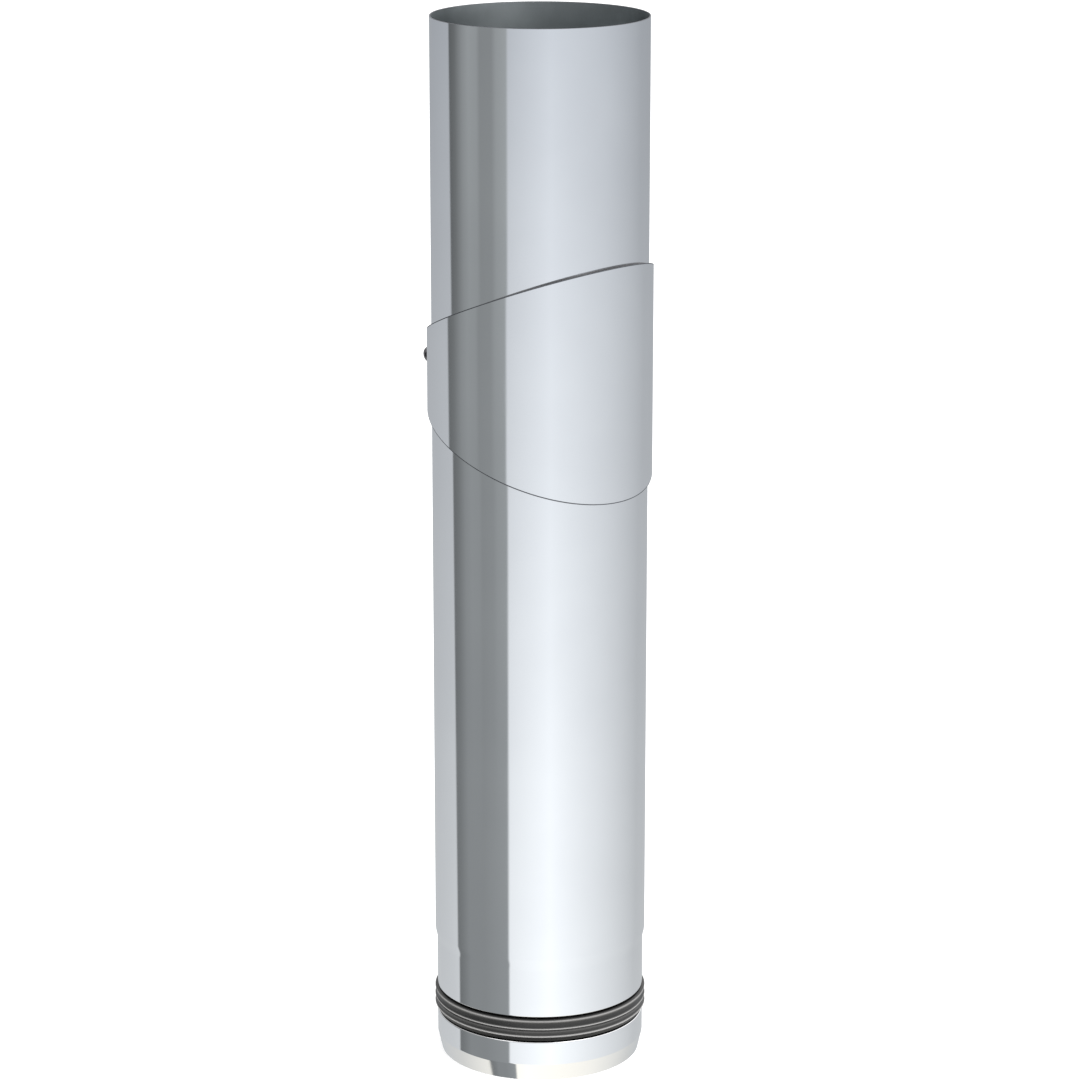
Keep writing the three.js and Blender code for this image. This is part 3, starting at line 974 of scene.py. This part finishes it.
def make_floor():
    """A plain pale floor, left out of the steel's reflections so that it mirrors the studio.

    It glows faintly, so that the pipe throws no shadow on it.
    """
    reach = 60000
    glow = 0.25
    floor_z = cad_low.z / MM
    corners = [(sx * reach, sy * reach, floor_z) for sx, sy in ((-1, -1), (1, -1), (1, 1), (-1, 1))]
    floor = make_object("studio_floor", corners, [(0, 1, 2, 3)])
    paper = bpy.data.materials.new("pale_paper")
    paper.use_nodes = True
    shader = paper.node_tree.nodes["Principled BSDF"]
    shader.inputs["Base Color"].default_value = (0.93, 0.93, 0.93, 1)
    shader.inputs["Roughness"].default_value = 0.9
    shader.inputs["Specular IOR Level"].default_value = 0.0
    shader.inputs["Emission Color"].default_value = (1, 1, 1, 1)
    shader.inputs["Emission Strength"].default_value = glow
    floor.data.materials.append(paper)
    floor.visible_glossy = False


class WorldNodes:
    """Short words for the studio surround's nodes."""

    def __init__(self, tree):
        self.tree = tree

    def maths(self, operation, *values):
        made = self.tree.nodes.new("ShaderNodeMath")
        made.operation = operation
        for socket, value in zip(made.inputs, values):
            if isinstance(value, (int, float)):
                socket.default_value = value
            else:
                self.tree.links.new(value, socket)
        return made.outputs[0]

    def along(self, direction, axis):
        made = self.tree.nodes.new("ShaderNodeVectorMath")
        made.operation = "DOT_PRODUCT"
        self.tree.links.new(direction, made.inputs[0])
        made.inputs[1].default_value = axis
        return made.outputs["Value"]

    def span(self, value, from_low, from_high, low, high):
        made = self.tree.nodes.new("ShaderNodeMapRange")
        limits = {"From Min": from_low, "From Max": from_high, "To Min": low, "To Max": high}
        for key, number in limits.items():
            made.inputs[key].default_value = number
        self.tree.links.new(value, made.inputs["Value"])
        return made.outputs["Result"]

    def ramp(self, value, stops):
        made = self.tree.nodes.new("ShaderNodeValToRGB")
        fill_ramp(made.color_ramp.elements, stops)
        self.tree.links.new(value, made.inputs["Fac"])
        return made.outputs["Color"]

    def mix(self, factor, a, b):
        made = self.tree.nodes.new("ShaderNodeMix")
        made.data_type = "RGBA"
        for key, value in (("Factor", factor), ("A", a), ("B", b)):
            if isinstance(value, tuple):
                made.inputs[key].default_value = value
            else:
                self.tree.links.new(value, made.inputs[key])
        return made.outputs["Result"]


def walls(w, share, elevation):
    """The white surround below the horizon, from the camera's height down to the floor."""
    blue = (0.945, 1.0, 1.08)
    clean = (0.965, 1.0, 1.03)
    cream = (1.02, 1.0, 0.93)
    high = [(0.0, grey(0.37, blue)), (0.19, grey(0.48, blue)), (0.408, grey(0.60, blue)),
            (0.53, grey(0.77, blue)), (0.70, grey(0.64, blue)), (0.86, grey(0.44, blue)),
            (1.0, grey(0.37, blue))]
    low = [(0.0, grey(0.58, clean)), (0.19, grey(0.70, clean)), (0.408, grey(1.05, clean)),
           (0.53, grey(1.27, clean)), (0.70, grey(0.93, clean)), (0.86, grey(0.63, clean)),
           (1.0, grey(0.58, clean))]
    deep = [(0.0, grey(0.72, cream)), (0.19, grey(0.80, cream)), (0.45, grey(1.3, cream)),
            (0.70, grey(1.1, cream)), (0.86, grey(0.88, cream)), (1.0, grey(0.72, cream))]
    sinking = w.span(elevation, math.radians(-7), math.radians(-22), 0, 1)
    sunk = w.span(elevation, math.radians(-26), math.radians(-46), 0, 1)
    lower = w.mix(sinking, w.ramp(share, high), w.ramp(share, low))
    return w.mix(sunk, lower, w.ramp(share, deep))


def flag(w, azimuth, elevation):
    """The dark flag's colour, and where it stands: its left edge leans in towards the floor."""
    lean = w.span(elevation, math.radians(-7), math.radians(-22), math.radians(-110), math.radians(-102))
    turn_in = w.span(elevation, math.radians(-24), math.radians(-46), 0, math.radians(38))
    left = w.maths("ADD", lean, turn_in)
    right = w.span(elevation, math.radians(-24), math.radians(-46), math.radians(-34.5), math.radians(-32))
    past_left = w.maths("SUBTRACT", azimuth, left)
    before_right = w.maths("SUBTRACT", right, azimuth)
    across = w.maths("DIVIDE", past_left, w.maths("SUBTRACT", right, left))
    green = (0.94, 1.0, 1.03)
    high = [(0.0, grey(0.13, green)), (0.13, grey(0.175, green)), (0.28, grey(0.315, green)),
            (0.39, grey(0.38, green)), (0.53, grey(0.36, green)), (0.59, grey(0.285, green)),
            (0.77, grey(0.29, green)), (0.84, grey(0.37, green)), (1.0, grey(0.42, green))]
    low = [(0.0, grey(0.19, green)), (0.12, grey(0.23, green)), (0.27, grey(0.29, green)),
           (0.57, grey(0.29, green)), (0.84, grey(0.325, green)), (1.0, grey(0.34, green))]
    sinking = w.span(elevation, math.radians(-7), math.radians(-20), 0, 1)
    colour = w.mix(sinking, w.ramp(across, high), w.ramp(across, low))
    soft = math.radians(1.2)
    from_left = w.span(past_left, -soft, soft, 0, 1)
    from_right = w.span(before_right, -soft, soft, 0, 1)
    inside = w.maths("MULTIPLY", from_left, from_right)
    return colour, inside


def sky(w, direction, elevation):
    """The white surround above the horizon: low down it is much brighter on the camera's right."""
    rise = w.span(elevation, 0, math.pi / 2, 0, 1)
    dim = w.ramp(rise, [(0.0, grey(0.18)), (0.5, grey(0.84)), (1.0, grey(1.4))])
    bright = w.ramp(rise, [(0.0, grey(1.62)), (0.5, grey(1.56)), (1.0, grey(1.4))])
    return w.mix(w.span(w.along(direction, CAMERA_RIGHT), -1, 1, 0, 1), dim, bright)


def make_world():
    """A soft white surround with one dark flag to the camera's left, which the steel mirrors."""
    world = bpy.data.worlds.new("studio")
    world.use_nodes = True
    bpy.context.scene.world = world
    tree = world.node_tree
    background = tree.nodes["Background"]
    w = WorldNodes(tree)
    direction = tree.nodes.new("ShaderNodeTexCoord").outputs["Generated"]
    azimuth = w.maths("ARCTAN2", w.along(direction, CAMERA_RIGHT), w.along(direction, TOWARD_CAMERA))
    elevation = w.maths("ARCSINE", w.along(direction, (0, 0, 1)))
    share = w.span(azimuth, -math.pi, math.pi, 0, 1)
    flag_colour, inside = flag(w, azimuth, elevation)
    lower = w.mix(inside, walls(w, share, elevation), flag_colour)
    pit = w.span(elevation, math.radians(-55), math.radians(-65), 0, 1)
    lower = w.mix(pit, lower, (0.25, 0.25, 0.25, 1))
    above = w.span(elevation, math.radians(-3), math.radians(3), 0, 1)
    tree.links.new(w.mix(above, lower, sky(w, direction, elevation)), background.inputs["Color"])
    background.inputs["Strength"].default_value = 1.0


def soft_box(name, place, width, height, energy):
    """A rectangular soft light that points at the middle of the pipe."""
    lamp = bpy.data.lights.new(name, "AREA")
    lamp.shape = "RECTANGLE"
    lamp.size = width
    lamp.size_y = height
    lamp.energy = energy
    obj = bpy.data.objects.new(name, lamp)
    bpy.context.scene.collection.objects.link(obj)
    obj.location = place
    aim = Vector((0, 0, 0.25)) - obj.location
    obj.rotation_euler = aim.to_track_quat("-Z", "Y").to_euler()


def make_lights():
    """One big soft light over each shoulder of the camera, the right one stronger."""
    soft_box("key_light", TOWARD_CAMERA * 1.2 + CAMERA_RIGHT * 1.3 + Vector((0, 0, 2.4)), 1.4, 1.4, 20)
    soft_box("fill_light", TOWARD_CAMERA * 1.2 - CAMERA_RIGHT * 1.5 + Vector((0, 0, 2.2)), 1.4, 1.4, 10)


make_camera()
make_floor()
make_world()
make_lights()
bpy.context.scene.view_settings.view_transform = "Standard"

make_pipe()
make_weld_seam()
make_seal()
make_window()
make_cover()
make_lug(-1)
make_lug(1)
make_screw()
make_washers()
make_clamp_nut()
